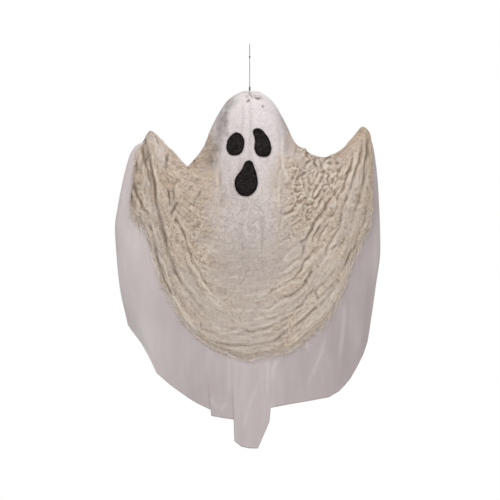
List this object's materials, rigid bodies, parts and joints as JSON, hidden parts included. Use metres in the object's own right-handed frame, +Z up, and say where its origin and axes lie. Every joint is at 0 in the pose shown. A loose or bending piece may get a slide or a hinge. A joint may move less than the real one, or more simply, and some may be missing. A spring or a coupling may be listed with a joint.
{
  "type": "hanging fabric ghost",
  "caption": "Hanging cloth ghost: gauze over sheer voile draped on a foam ball head and a bent arm wire, with felt eyes and mouth, hung from a cord loop.",
  "frame": {"origin": "top of the cord's loop, the point the ghost hangs from, on the crown's axis", "axes": "+Z up along the cord, -Y the way the face looks, +X towards the hand on the right of the picture"},
  "size_m": [0.4475, 0.1436, 0.6866],
  "materials": {
    "voile": "sheer lilac-grey woven voile",
    "gauze": "crinkled cotton gauze with a tan wash",
    "foam": "white expanded foam",
    "wire": "plain drawn wire",
    "cord": "thin black braided cord",
    "felt": "black felt",
    "thread": "dark grey sewing thread"
  },
  "bodies": {
    "root": {"voile_drape": "voile", "gauze_drape": "gauze", "head_ball": "foam", "arm_wire": "wire", "hang_cord": "cord", "hang_loop": "cord", "loop_knot": "cord", "crown_knot": "cord", "lower_knot": "cord", "left_eye": "felt", "right_eye": "felt", "mouth": "felt", "crown_stitches": "thread", "left_hand_tack": "thread", "left_neck_tack": "thread", "right_neck_tack": "thread", "right_dip_tack": "thread"}
  },
  "joints": []
}
